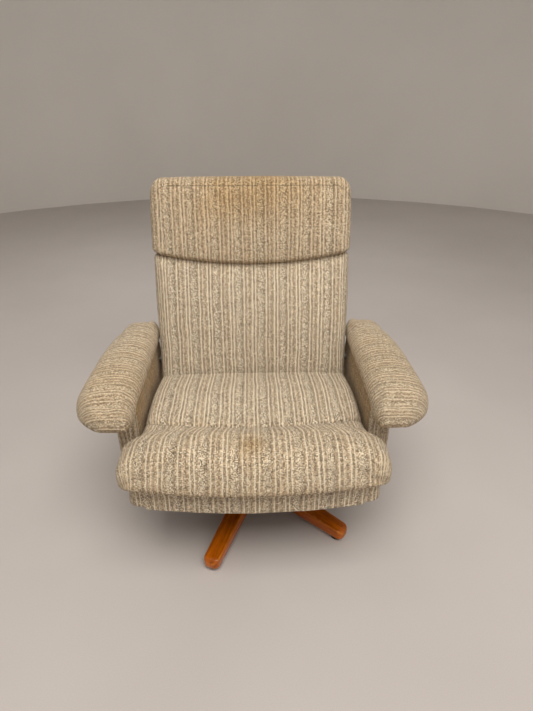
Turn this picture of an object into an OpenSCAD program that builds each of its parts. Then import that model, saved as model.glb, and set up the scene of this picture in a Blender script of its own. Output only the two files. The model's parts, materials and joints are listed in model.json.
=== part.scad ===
// Swivel recliner armchair: five-leg wooden star base, swivel underframe that
// carries the two arms, a seat that glides forward and a back that reclines.
// Front is -Y, up is +Z, origin on the floor on the swivel axis. Millimetres.

/* [Overall] */
// Width over the two arm caps
total_w = 864; // [850:2:868]
// Height of the crease between seat and back
crease_h = 383; // [380:1:386]
// Distance of that crease behind the swivel axis
crease_y = 102; // [100:1:106]
// Backward tilt of the back when upright, in degrees
back_tilt = 14.5; // [13:0.5:16]

/* [Base] */
// Number of legs of the star base
leg_count = 5; // [5:1:5]
// Angle of the first leg from straight ahead, in degrees
leg_start = -22; // [-36:1:36]
// Distance from the swivel axis to a leg's tip
leg_reach = 328; // [316:1:334]
// Width of a leg at its tip
leg_tip_w = 44; // [40:1:48]
// Width of a leg at its root
leg_root_w = 54; // [50:1:56]
// Height of the nylon glide under each tip
glide_h = 11; // [8:1:12]

/* [Swivel] */
// Radius of the swivel spindle
spindle_r = 15; // [14:0.5:16]
// Outer radius of the base column
column_r = 25; // [24:0.5:26]
// Radial clearance of every running shaft
run_gap = 0.05; // [0.03:0.01:0.08]

/* [Seat] */
// Half width of the cushion between the arms
seat_half_w = 281; // [276:1:282]
// Half width of the cushion's front roll
roll_half_w = 323; // [318:1:328]
// Distance of the front roll ahead of the swivel axis
roll_reach = 368; // [362:1:372]
// Thickness of the cushion
cushion_t = 78; // [70:1:84]

/* [Arms] */
// Half distance between the arms' inner faces
arm_inner = 287; // [286:1:290]
// Thickness of an arm's upholstered panel
arm_panel_t = 58; // [54:1:60]
// Height of the arm cap's top
arm_top = 505; // [500:1:510]
// Thickness of the arm cap
arm_cap_t = 73; // [70:1:76]
// Distance of the arm cap's nose ahead of the swivel axis
arm_nose = 262; // [255:1:268]

/* [Back] */
// Half width of the back
back_half_w = 275; // [270:1:276]
// Height of the back above the crease, along its tilt
back_len = 552; // [545:1:556]
// Thickness of the back, cushion to rear panel
back_t = 137; // [132:1:142]

/* [Recline mechanism] */
// Distance from the recline pivot to the pin that drives the seat
lever_r = 100; // [96:1:104]
// Furthest recline from upright, in degrees
recline_max = 26; // [20:1:28]
// Radius of the pivot studs
stud_r = 6; // [5.5:0.5:6]
// Radius of a lock wheel
wheel_r = 30; // [28:1:31]

/* [Hidden] */
$fn = 48;

wood_tone = "peru";
beech_tone = "burlywood";
steel_tone = "dimgray";
zinc_tone = "silver";
nylon_tone = "whitesmoke";
black_tone = "black";
cloth_tone = "tan";

// Star base, from the floor up
tip_bottom = glide_h;
tip_top = 42;
root_bottom = 24;
root_top = 66;
root_start = 47;
root_end = 104;
plate_t = 4;
hub_r = 44;
hub_plate_r = 94;
bolt_rows = [62, 82];
bolt_r = 4;
column_wall = 4;
column_top = 160;
bush_bottom = 96;
spindle_bottom = 70;
spindle_lead = 4;
flange_t = 3;
bearing_t = 4;
collar_r = 30;
collar_t = 12;

// Underframe
mount_plate_z = 180;
mount_plate_t = 5;
long_rail_x = 85;
long_rail_w = 30;
rail_h = 20;
rail_wall = 2;
long_rail_z = mount_plate_z + mount_plate_t;
cross_rail_z = long_rail_z + rail_h;
cross_rail_w = 40;
front_rail_y = -160;
rear_rail_y = 130;
plate_half = [115, 130];
screw_spots = [for (x = [-long_rail_x, long_rail_x], y = [-95, 95]) [x, y]];
rod_r = 6;
rod_x = 185;
rod_z = cross_rail_z + rail_h / 2;
bracket_t = 4;

// Arms
arm_board_t = 26;
pad_t = (arm_panel_t - arm_board_t) / 2;
arm_board_x = arm_inner + pad_t;
arm_bottom = 238;
cap_tail = 244;
cap_nose_bottom = 416;
inner_pad_bottom = 288;
arm_cap_bottom = arm_top - arm_cap_t;
inner_pad_top = arm_top - 20;
arm_front = -188;
arm_rear = 214;
bracket_bolt_z = 262;
bracket_bolt_dy = [-11, 11];
bracket_top = 284;
bracket_foot = 62;

// Seat frame: a T in plan, wide ahead of the arms and narrow between them
seat_bottom = 252;
seat_rail_h = 62;
seat_rail_t = 22;
apron_t = 12;
apron_bottom = 246;
apron_half_w = 311;
apron_reach = roll_reach - 32;
neck_y = -202;
neck_half_w = 272;
seat_rear_y = 74;
spring_z = seat_bottom + seat_rail_h;
spring_t = 4;
cushion_bottom = spring_z + spring_t + 4;
bow_r = 1700;
cushion_rear = 88;
rail_out = neck_half_w - apron_t - 0.4;
front_rail_end = neck_y - 14;
block_spots = [-62, 84];
block_len = 44;
spring_xs = [-180, -90, 0, 90, 180];
loop_count = 21;
loop_w = 46;
spring_end = seat_rear_y - 12;
bracket_x = neck_half_w - 34;

// Back, in its own tilted frame: v is depth behind the front face, w is along the tilt
frame_v = 55;
cushion_back_v = 87.5;
panel_v = 88;
webbing_w = [15, 80, 145, 210, 275, 345, 400, 455];
frame_t = 30;
stile_w = 40;
stile_in = 215;
stile_low = -36;
stile_high = 503;
frame_top = 500;
pivot_v = frame_v + frame_t / 2;
pivot_w = 20;
head_w = 320;
lever_t = 5;
lever_w = 20;
boss_r = 15;
lever_x = stile_in + stile_w + 0.5;
pivot_y = crease_y + pivot_v * cos(back_tilt) + pivot_w * sin(back_tilt);
pivot_z = crease_h - pivot_v * sin(back_tilt) + pivot_w * cos(back_tilt);
pin_r = 5;
pin_z = pivot_z - lever_r;
pin_rise = lever_r * (1 - cos(recline_max));
disc_r = 15;
stud_in = stile_in + 14;
wheel_x = arm_inner + arm_panel_t + 4;
wheel_t = 22;
pocket_half = lever_x + lever_t + 1;

// ---------- shared shapes ----------

// Rectangle with rounded corners between two points
module round_rect(lo, hi, r) {
  translate([lo.x + r, lo.y]) square([hi.x - lo.x - 2 * r, hi.y - lo.y]);
  translate([lo.x, lo.y + r]) square([hi.x - lo.x, hi.y - lo.y - 2 * r]);
  for (x = [lo.x + r, hi.x - r], y = [lo.y + r, hi.y - r]) translate([x, y]) circle(r);
}

// A (y, z) profile extruded from -half to half along X
module along_x(half) {
  translate([-half, 0, 0]) rotate([90, 0, 90]) linear_extrude(2 * half) children();
}

// An (x, z) profile extruded from y_low to y_high
module along_y(y_low, y_high) {
  translate([0, y_high, 0]) rotate([90, 0, 0]) linear_extrude(y_high - y_low) children();
}

// Plain box between two corners
module block(lo, hi) {
  translate(lo) cube(hi - lo);
}

// Box-section tube between two corners, open along X or Y
module box_tube(lo, hi, along_x) {
  open = along_x ? [1, -rail_wall, -rail_wall] : [-rail_wall, 1, -rail_wall];
  difference() {
    block(lo, hi);
    block(lo - open, hi + open);
  }
}

// Cylinder along +X that starts at x
module x_rod(x, y, z, r, length) {
  translate([x, y, z]) rotate([0, 90, 0]) cylinder(r = r, h = length);
}

// Tube along +X that starts at x
module x_tube(x, y, z, r_out, r_in, length) {
  difference() {
    x_rod(x, y, z, r_out, length);
    x_rod(x - 1, y, z, r_in, length + 2);
  }
}

// Vertical tube that starts at z
module z_tube(z, r_out, r_in, height) {
  translate([0, 0, z]) difference() {
    cylinder(r = r_out, h = height);
    translate([0, 0, -1]) cylinder(r = r_in, h = height + 2);
  }
}

// Children on the right side and their mirror image on the left
module both_sides() {
  children();
  mirror([1, 0, 0]) children();
}

// Children on the chair's left, which is +X
module left() { children(); }

// Children mirrored to the chair's right, which is -X
module right() { mirror([1, 0, 0]) children(); }

// Children placed in the back's tilted frame
module in_back() {
  translate([0, crease_y, crease_h]) rotate([-back_tilt, 0, 0]) children();
}

// Children along leg number i
module on_leg(i) {
  rotate(leg_start - 90 + i * 360 / leg_count) children();
}

// ---------- base ----------

// One leg's cross-section as four spheres at distance d from the axis
module leg_section(d, w, z_low, z_high, r) {
  for (y = [r - w / 2, w / 2 - r], z = [z_low + r, z_high - r])
    translate([d, y, z]) sphere(r, $fn = 24);
}

module leg_body() {
  edge = 7;
  hull() {
    leg_section(root_start + edge, leg_root_w, root_bottom, root_top, edge);
    leg_section(root_end, leg_root_w, root_bottom, root_top, edge);
  }
  hull() {
    leg_section(root_end, leg_root_w, root_bottom, root_top, edge);
    leg_section(leg_reach - edge, leg_tip_w, tip_bottom, tip_top, edge);
  }
}

module base_leg(i) {
  color(wood_tone) on_leg(i) difference() {
    leg_body();
    for (d = bolt_rows)
      translate([d, 0, 0]) cylinder(r = bolt_r + 0.1, h = root_top + 1);
  }
}

module foot_glides() {
  color(black_tone)
    for (i = [0 : leg_count - 1])
      on_leg(i) translate([leg_reach - 26, 0, 0]) {
        cylinder(r = 15, h = glide_h - 4);
        translate([0, 0, glide_h - 4]) cylinder(r = 11, h = 4);
      }
}

module base_hub() {
  color(steel_tone) z_tube(root_bottom, hub_r, column_r + 0.1, root_top - root_bottom);
}

module hub_plate(z) {
  color(steel_tone) difference() {
    z_tube(z, hub_plate_r, column_r + 0.1, plate_t);
    for (i = [0 : leg_count - 1], d = bolt_rows)
      on_leg(i) translate([d, 0, z - 1]) cylinder(r = bolt_r + 0.1, h = plate_t + 2);
  }
}

module leg_bolts() {
  low = root_bottom - plate_t - 0.2;
  high = root_top + plate_t + 0.2;
  color(zinc_tone)
    for (i = [0 : leg_count - 1], d = bolt_rows)
      on_leg(i) translate([d, 0, 0]) {
        translate([0, 0, low - 4.5]) cylinder(r = 7, h = 4.5, $fn = 6);
        translate([0, 0, low - 0.1]) cylinder(r = bolt_r, h = high - low + 0.2);
        translate([0, 0, high]) cylinder(r1 = 7, r2 = 5.5, h = 3.5);
      }
}

module base_column() {
  color(black_tone)
    z_tube(root_bottom, column_r, column_r - column_wall, column_top - root_bottom);
}

module column_bush() {
  bore = spindle_r + run_gap;
  color(nylon_tone) difference() {
    union() {
      z_tube(bush_bottom, column_r - column_wall - 0.05, bore, column_top - bush_bottom);
      z_tube(column_top, column_r + 2, bore, flange_t);
    }
    translate([0, 0, bush_bottom - 1]) cylinder(r = bore, h = column_top - bush_bottom + flange_t + 2);
  }
}

module thrust_bearing() {
  z = column_top + flange_t + 0.2;
  color(zinc_tone) difference() {
    z_tube(z, column_r + 3, spindle_r + 1, bearing_t);
    translate([0, 0, z + bearing_t / 2]) difference() {
      cylinder(r = column_r + 4, h = 0.8, center = true);
      cylinder(r = column_r + 1, h = 1, center = true);
    }
  }
}

// ---------- swivel underframe ----------

module swivel_spindle() {
  color(zinc_tone) {
    translate([0, 0, spindle_bottom]) cylinder(r1 = spindle_r - 2, r2 = spindle_r, h = spindle_lead);
    translate([0, 0, spindle_bottom + spindle_lead])
      cylinder(r = spindle_r, h = mount_plate_z - spindle_bottom - spindle_lead);
    translate([0, 0, mount_plate_z - collar_t]) cylinder(r = collar_r, h = collar_t);
  }
}

module swivel_plate() {
  color(steel_tone) translate([0, 0, mount_plate_z]) linear_extrude(mount_plate_t) difference() {
    square(2 * plate_half, center = true);
    for (s = screw_spots) translate(s) circle(r = bolt_r + 0.1);
  }
}

module plate_screws() {
  color(zinc_tone)
    for (s = screw_spots) translate([s.x, s.y, 0]) {
      translate([0, 0, mount_plate_z - 5]) cylinder(r = 7, h = 4.9, $fn = 6);
      translate([0, 0, mount_plate_z - 1]) cylinder(r = bolt_r, h = 18);
    }
}

module long_rail() {
  x = long_rail_x - long_rail_w / 2;
  color(steel_tone) difference() {
    box_tube([x, front_rail_y - 20, long_rail_z],
             [x + long_rail_w, rear_rail_y + 20, long_rail_z + rail_h - 0.1], false);
    for (s = screw_spots)
      if (s.x > 0) translate([s.x, s.y, long_rail_z - 1]) cylinder(r = bolt_r + 0.1, h = 6);
  }
}

module cross_rail(y) {
  end_x = arm_board_x - bracket_t;
  color(steel_tone) difference() {
    box_tube([-end_x, y - cross_rail_w / 2, cross_rail_z],
             [end_x, y + cross_rail_w / 2, cross_rail_z + rail_h], true);
    for (x = [-rod_x, rod_x])
      translate([x, y, rod_z]) rotate([90, 0, 0])
        cylinder(r = rod_r + 0.1, h = cross_rail_w + 2, center = true);
  }
}

module guide_rods() {
  start = front_rail_y - cross_rail_w / 2 - 3;
  finish = rear_rail_y + cross_rail_w / 2 + 3;
  color(zinc_tone)
    for (x = [-rod_x, rod_x])
      translate([x, finish, rod_z]) rotate([90, 0, 0])
        cylinder(r = rod_r, h = finish - start);
}

module arm_brackets() {
  top = cross_rail_z + rail_h + 0.2;
  color(steel_tone)
    both_sides()
      for (y = [front_rail_y, rear_rail_y]) difference() {
        union() {
          block([arm_board_x - bracket_t, y - 20, cross_rail_z],
                [arm_board_x - 0.1, y + 20, bracket_top]);
          block([arm_board_x - bracket_foot, y - 20, top], [arm_board_x - bracket_t, y + 20, top + bracket_t]);
        }
        for (dy = bracket_bolt_dy)
          x_rod(arm_board_x - 10, y + dy, bracket_bolt_z, bolt_r + 0.1, 20);
      }
}

module arm_bolts() {
  color(zinc_tone)
    both_sides()
      for (y = [front_rail_y, rear_rail_y], dy = bracket_bolt_dy) {
        x_rod(arm_board_x - bracket_t - 4.2, y + dy, bracket_bolt_z, 6.5, 4);
        x_rod(arm_board_x - bracket_t - 1, y + dy, bracket_bolt_z, bolt_r, 24);
      }
}

// ---------- arms ----------

module arm_frame() {
  color(beech_tone) difference() {
    block([arm_board_x, arm_front + 10, arm_bottom],
          [arm_board_x + arm_board_t, arm_rear - 4, arm_cap_bottom]);
    x_rod(arm_board_x - 1, pivot_y, pivot_z, stud_r + 0.1, arm_board_t + 2);
    for (y = [front_rail_y, rear_rail_y], dy = bracket_bolt_dy)
      x_rod(arm_board_x - 1, y + dy, bracket_bolt_z, bolt_r + 0.1, 22);
  }
}

module arm_inner_pad() {
  color(cloth_tone) difference() {
    block([arm_inner, arm_front + 6, inner_pad_bottom], [arm_board_x - 0.2, arm_rear, inner_pad_top]);
    x_rod(arm_inner - 1, pivot_y, pivot_z, 14, pad_t + 2);
  }
}

module arm_outer_pad() {
  x = arm_board_x + arm_board_t + 0.2;
  color(cloth_tone) difference() {
    union() {
      block([x, arm_front, arm_bottom], [arm_inner + arm_panel_t, arm_rear, arm_cap_bottom - 1]);
      block([arm_inner, arm_front, arm_bottom], [x + 1, arm_front + 5.8, arm_cap_bottom - 1]);
    }
    x_rod(x - 1, pivot_y, pivot_z, stud_r + 0.5, pad_t + 2);
  }
}

// Spheres of radius r that touch the cap's outline from z_low to z_high
module cap_balls(spots, r, z_low, z_high) {
  for (s = spots, z = [z_low + r, z_high - r]) translate([s.x, s.y, z]) sphere(r, $fn = 24);
}

module arm_cap() {
  in = arm_inner - 3;
  out = total_w / 2;
  r = 32;
  color(cloth_tone) difference() {
    union() {
      hull() {
        cap_balls([[in + r, -arm_nose + r], [in + r, cap_tail - r]], r, arm_cap_bottom + 0.3, arm_top);
        cap_balls([[out - r - 44, -arm_nose + r + 6], [out - r - 6, -arm_nose + r + 52],
                   [out - r, -90], [out - r, 90], [out - r - 46, cap_tail - 6 - r]],
                  r, arm_cap_bottom + 0.3, arm_top - 6);
      }
      hull()
        cap_balls([[in + 28, -arm_nose + 32], [out - 74, -arm_nose + 37],
                   [out - 40, arm_front - 34], [in + 28, arm_front - 34]],
                  28, cap_nose_bottom, arm_top - 8);
    }
    block([in - 10, arm_front + 5, cap_nose_bottom - 20],
          [arm_board_x, arm_rear + 0.3, inner_pad_top + 0.3]);
  }
}

// ---------- recline pivots and lock wheels ----------

module pivot_studs() {
  color(zinc_tone)
    both_sides() x_rod(stud_in, pivot_y, pivot_z, stud_r, wheel_x + wheel_t - 6 - stud_in);
}

module spacer_sleeves() {
  start = lever_x + lever_t + 5;
  color(zinc_tone)
    both_sides() x_tube(start, pivot_y, pivot_z, 10, stud_r + 0.1, arm_board_x - 0.3 - start);
}

module friction_discs() {
  color(black_tone)
    both_sides() x_tube(lever_x + lever_t + 0.7, pivot_y, pivot_z, disc_r, stud_r + 0.1, 4);
}

module lock_wheel() {
  color(wood_tone) translate([wheel_x, pivot_y, pivot_z]) rotate([0, 90, 0]) difference() {
    union() {
      cylinder(r = wheel_r, h = wheel_t - 6);
      translate([0, 0, wheel_t - 6]) cylinder(r1 = wheel_r, r2 = wheel_r - 6, h = 6);
      translate([0, 0, -3]) cylinder(r = 14, h = 3);
    }
    for (a = [0 : 60 : 300])
      rotate(a) translate([wheel_r + 5, 0, -1]) cylinder(r = 9, h = wheel_t + 2);
    translate([0, 0, -4]) cylinder(r = stud_r + run_gap, h = wheel_t);
  }
}

// ---------- seat ----------

// Bow-fronted T in plan: wide ahead of neck, narrower from there to rear
module bow_t(front_half, reach, neck, neck_half, rear, r) {
  offset(r = r, $fn = 48) offset(delta = -r) union() {
    intersection() {
      translate([-front_half, -reach]) square([2 * front_half, reach + neck]);
      translate([0, bow_r - reach]) circle(r = bow_r, $fn = 180);
    }
    translate([-neck_half, -reach + 60]) square([2 * neck_half, rear + reach - 60]);
  }
}

// Outline of the seat's box, shrunk by g on every side
module seat_plan(g = 0) {
  bow_t(apron_half_w - g, apron_reach - g, neck_y - g, neck_half_w - g, seat_rear_y - g, 26 - g);
}

// Everything in plan ahead of y, to be intersected with a 2D shape
module ahead_of(y) {
  translate([-400, -400]) square([800, 400 + y]);
}

// Upholstered band round the front and sides of the seat's box
module seat_apron() {
  color(cloth_tone) translate([0, 0, apron_bottom])
    linear_extrude(cushion_bottom - apron_bottom - 4) intersection() {
      difference() {
        seat_plan();
        seat_plan(apron_t);
      }
      ahead_of(seat_rear_y - 30);
    }
}

module seat_front_rail() {
  color(beech_tone) translate([0, 0, seat_bottom]) linear_extrude(seat_rail_h) intersection() {
    difference() {
      seat_plan(apron_t + 0.3);
      seat_plan(apron_t + seat_rail_t);
    }
    ahead_of(front_rail_end);
  }
}

module seat_side_rail() {
  color(beech_tone)
    block([rail_out - seat_rail_t, front_rail_end + 0.3, seat_bottom],
          [rail_out, seat_rear_y - 1, spring_z]);
}

module seat_rear_rail() {
  x = rail_out - seat_rail_t - 0.2;
  color(beech_tone)
    block([-x, seat_rear_y - 1 - seat_rail_t, seat_bottom], [x, seat_rear_y - 1, spring_z]);
}

module seat_battens() {
  x = rail_out - seat_rail_t - 0.2;
  color(beech_tone) {
    block([-x, block_spots[0] - 24, seat_bottom], [x, block_spots[0] + 24, seat_bottom + 20]);
    block([-x, seat_rear_y - 70, seat_bottom],
          [x, seat_rear_y - 1.2 - seat_rail_t, seat_bottom + 20]);
  }
}

module slide_blocks() {
  low = cross_rail_z - 4;
  color(nylon_tone)
    for (x = [-rod_x, rod_x], y = block_spots) difference() {
      block([x - 17, y - block_len / 2, low],
            [x + 17, y + block_len / 2, seat_bottom - 0.1]);
      translate([x, y, rod_z]) rotate([90, 0, 0])
        cylinder(r = rod_r + run_gap, h = block_len + 2, center = true);
    }
}

// Where a spring at x meets the bowed front rail
function spring_start(x) = -apron_reach + apron_t + 11 + x * x / (2 * bow_r);

// Flat zigzag wire along +Y in plan, with straight runs across and half-round ends
module zigzag(length) {
  loop_r = length / (2 * loop_count);
  run = loop_w - 2 * loop_r;
  for (i = [0 : loop_count - 1]) {
    side = i % 2 == 0 ? 1 : -1;
    translate([0, i * 2 * loop_r]) {
      translate([-run / 2 - 0.5, -spring_t / 2]) square([run + 1, spring_t]);
      translate([side * run / 2, loop_r]) intersection() {
        difference() {
          circle(r = loop_r + spring_t / 2);
          circle(r = loop_r - spring_t / 2);
        }
        translate([side > 0 ? 0 : -2 * loop_r, -2 * loop_r]) square([2 * loop_r, 4 * loop_r]);
      }
    }
  }
  translate([-run / 2 - 0.5, length - spring_t / 2]) square([run + 1, spring_t]);
}

module seat_springs() {
  color(steel_tone) translate([0, 0, spring_z + 0.3]) linear_extrude(spring_t - 0.5)
    for (x = spring_xs)
      translate([x, spring_start(x)]) zigzag(spring_end - spring_start(x));
}

module spring_clips() {
  color(zinc_tone)
    for (x = spring_xs, y = [spring_start(x), spring_end])
      translate([x - 10, y - 6, spring_z + spring_t]) cube([20, 12, 2]);
}

module slot_brackets() {
  x = bracket_x;
  color(steel_tone)
    both_sides() difference() {
      union() {
        block([x - 3, seat_rear_y - 0.8, pin_z - 14], [x + 3, pivot_y + 13, pin_z + 22]);
        block([x - 22, seat_rear_y - 0.8, pin_z - 14], [x + 3, seat_rear_y + 3.2, pin_z + 22]);
      }
      block([x - 5, pivot_y - pin_r - 1.2, pin_z], [x + 5, pivot_y + pin_r + 1.2, pin_z + pin_rise]);
      for (z = [pin_z, pin_z + pin_rise])
        x_rod(x - 5, pivot_y, z, pin_r + 1.2, 10);
    }
}

module seat_dust_cover() {
  color(black_tone) translate([0, 0, seat_bottom - 2]) linear_extrude(1.6) difference() {
    seat_plan(apron_t + 1);
    for (x = [-rod_x, rod_x], y = block_spots)
      translate([x, y]) square([40, block_len + 8], center = true);
  }
}

module seat_cushion() {
  top = cushion_bottom + cushion_t;
  low = cushion_bottom;
  color(cloth_tone) intersection() {
    translate([0, 0, low - 1]) linear_extrude(top - low + 2)
      bow_t(roll_half_w, roll_reach, neck_y, seat_half_w, cushion_rear, 28);
    along_x(roll_half_w + 1) {
      round_rect([-roll_reach, low], [neck_y, top], 34);
      round_rect([neck_y - 60, low], [cushion_rear, top - 6], 24);
    }
  }
}

// ---------- back ----------

module back_stile() {
  color(beech_tone) difference() {
    in_back() block([stile_in, frame_v, stile_low], [stile_in + stile_w, frame_v + frame_t, stile_high]);
    x_rod(stile_in - 1, pivot_y, pivot_z, 9.1, stile_w + 2);
  }
}

module back_rail(w_low, w_high) {
  color(beech_tone) in_back()
    block([-stile_in + 0.1, frame_v, w_low], [stile_in - 0.1, frame_v + frame_t, w_high]);
}

module back_webbing() {
  color(black_tone) in_back()
    for (w = webbing_w)
      block([-stile_in - 30, frame_v - 3.2, w - 24], [stile_in + 30, frame_v - 0.2, w + 24]);
}

// Plate on the stile's outer face, vertical from the pivot down to the pin
module lever_plates() {
  color(steel_tone) both_sides() difference() {
    union() {
      x_rod(lever_x, pivot_y, pivot_z, boss_r, lever_t);
      x_rod(lever_x, pivot_y, pin_z, 12, lever_t);
      block([lever_x, pivot_y - lever_w / 2, pin_z],
            [lever_x + lever_t, pivot_y + lever_w / 2, pivot_z]);
      in_back() block([lever_x, frame_v + 1, pivot_w], [lever_x + lever_t, frame_v + frame_t - 1, 150]);
    }
    x_rod(lever_x - 1, pivot_y, pivot_z, 9.1, lever_t + 2);
    x_rod(lever_x - 1, pivot_y, pin_z, pin_r + 0.1, lever_t + 2);
  }
}

module lever_pins() {
  start = bracket_x - 10;
  color(zinc_tone) both_sides() {
    x_rod(start, pivot_y, pin_z, pin_r, lever_x + lever_t - start);
    x_rod(start, pivot_y, pin_z, pin_r + 3.5, 2.5);
    x_rod(lever_x + lever_t + 0.1, pivot_y, pin_z, pin_r + 2, 1.5);
  }
}

module pivot_bushes() {
  color(nylon_tone)
    both_sides() x_tube(stile_in, pivot_y, pivot_z, 9, stud_r + run_gap, lever_x + lever_t - stile_in);
}

// Cushion with a soft front (radius rf) and a tighter rear edge, in the back's frame
module back_box(half, v_front, w_low, w_high, rf) {
  rr = 8;
  hull()
    for (x = [-1, 1], w = [0, 1]) {
      translate([x * (half - rf), v_front + rf, w == 0 ? w_low + rf : w_high - rf])
        sphere(rf, $fn = 24);
      translate([x * (half - rr), cushion_back_v - rr, w == 0 ? w_low + rr : w_high - rr])
        sphere(rr, $fn = 16);
    }
}

module back_cushion() {
  color(cloth_tone) difference() {
    in_back() difference() {
      back_box(back_half_w, 0, stile_low - 3, head_w - 2, 20);
      block([-pocket_half, frame_v - 3.6, -120], [pocket_half, 100, head_w + 10]);
    }
    both_sides() x_rod(pocket_half - 5, pivot_y, pivot_z, disc_r + 2, 30);
  }
}

module headrest_cushion() {
  color(cloth_tone) in_back() difference() {
    back_box(back_half_w + 6, -20, head_w, back_len, 34);
    block([-pocket_half, frame_v - 3.6, head_w - 10], [pocket_half, 100, stile_high + 1]);
  }
}

// Panel behind the frame, with a slot at each side that clears the lever
module back_rear_panel() {
  half = back_half_w - 3;
  low = stile_low - 3;
  high = back_len - 8;
  color(cloth_tone) in_back() difference() {
    intersection() {
      along_x(half) round_rect([panel_v, low], [back_t, high], 16);
      along_y(panel_v - 1, back_t + 1) round_rect([-half, low], [half, high], 24);
    }
    both_sides() block([lever_x - 1, 80, low - 10], [pocket_half, 101, pivot_w + 10]);
  }
}

// ---------- nodes ----------

base_leg(0);  // base_leg_1
base_leg(1);  // base_leg_2
base_leg(2);  // base_leg_3
base_leg(3);  // base_leg_4
base_leg(4);  // base_leg_5
foot_glides();
base_hub();
hub_plate(root_top + 0.1);  // hub_top_plate
hub_plate(root_bottom - plate_t - 0.1);  // hub_bottom_plate
leg_bolts();
base_column();
column_bush();
thrust_bearing();
swivel_spindle();
swivel_plate();
plate_screws();
left() long_rail();  // long_rail_left
right() long_rail();  // long_rail_right
cross_rail(front_rail_y);  // cross_rail_front
cross_rail(rear_rail_y);  // cross_rail_rear
guide_rods();
arm_brackets();
arm_bolts();
left() arm_frame();  // arm_frame_left
right() arm_frame();  // arm_frame_right
left() arm_inner_pad();  // arm_inner_pad_left
right() arm_inner_pad();  // arm_inner_pad_right
left() arm_outer_pad();  // arm_outer_pad_left
right() arm_outer_pad();  // arm_outer_pad_right
left() arm_cap();  // arm_cap_left
right() arm_cap();  // arm_cap_right
pivot_studs();
spacer_sleeves();
friction_discs();
left() lock_wheel();  // lock_wheel_left
right() lock_wheel();  // lock_wheel_right
seat_front_rail();
left() seat_side_rail();  // seat_side_rail_left
right() seat_side_rail();  // seat_side_rail_right
seat_rear_rail();
seat_battens();
slide_blocks();
seat_springs();
spring_clips();
slot_brackets();
seat_dust_cover();
seat_apron();
seat_cushion();
left() back_stile();  // back_stile_left
right() back_stile();  // back_stile_right
back_rail(frame_top - 42, frame_top);  // back_top_rail
back_rail(head_w - 20, head_w + 16);  // back_mid_rail
back_rail(stile_low, stile_low + 40);  // back_bottom_rail
back_webbing();
lever_plates();
lever_pins();
pivot_bushes();
back_cushion();
headrest_cushion();
back_rear_panel();
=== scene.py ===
"""Looks of the swivel recliner armchair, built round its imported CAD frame.

Metres, +Z up, front towards -Y.
"""

import json
import math

import bpy
import numpy as np
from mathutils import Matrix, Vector


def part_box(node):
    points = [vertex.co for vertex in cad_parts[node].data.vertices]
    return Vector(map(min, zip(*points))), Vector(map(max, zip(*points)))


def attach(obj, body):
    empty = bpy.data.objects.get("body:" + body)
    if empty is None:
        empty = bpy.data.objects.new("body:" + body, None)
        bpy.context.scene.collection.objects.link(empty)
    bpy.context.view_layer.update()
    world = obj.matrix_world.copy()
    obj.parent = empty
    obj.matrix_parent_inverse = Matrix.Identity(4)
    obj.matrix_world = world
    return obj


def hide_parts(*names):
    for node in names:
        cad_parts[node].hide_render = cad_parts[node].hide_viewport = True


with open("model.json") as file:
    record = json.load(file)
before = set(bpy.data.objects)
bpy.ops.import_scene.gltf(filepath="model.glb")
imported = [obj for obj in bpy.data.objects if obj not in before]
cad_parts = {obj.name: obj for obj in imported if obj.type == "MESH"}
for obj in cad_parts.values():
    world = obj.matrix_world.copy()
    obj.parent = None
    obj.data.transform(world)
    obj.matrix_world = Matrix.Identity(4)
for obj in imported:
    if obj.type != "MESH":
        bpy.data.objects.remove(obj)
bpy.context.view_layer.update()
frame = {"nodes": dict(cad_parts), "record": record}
nodes = frame["nodes"]

# ---------- camera ----------

CAMERA_AT = (0.001, -1.1776, 1.150)
CAMERA_TURN = (math.radians(60.7), 0.0, math.radians(-1.7))
CAMERA_LENS = 25.06


def make_camera():
    data = bpy.data.cameras.new("camera")
    data.lens = CAMERA_LENS
    data.sensor_width = 36.0
    data.clip_start = 0.02
    camera = bpy.data.objects.new("camera", data)
    camera.location = CAMERA_AT
    camera.rotation_euler = CAMERA_TURN
    bpy.context.scene.collection.objects.link(camera)
    bpy.context.scene.camera = camera


# ---------- node-tree helpers ----------


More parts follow.
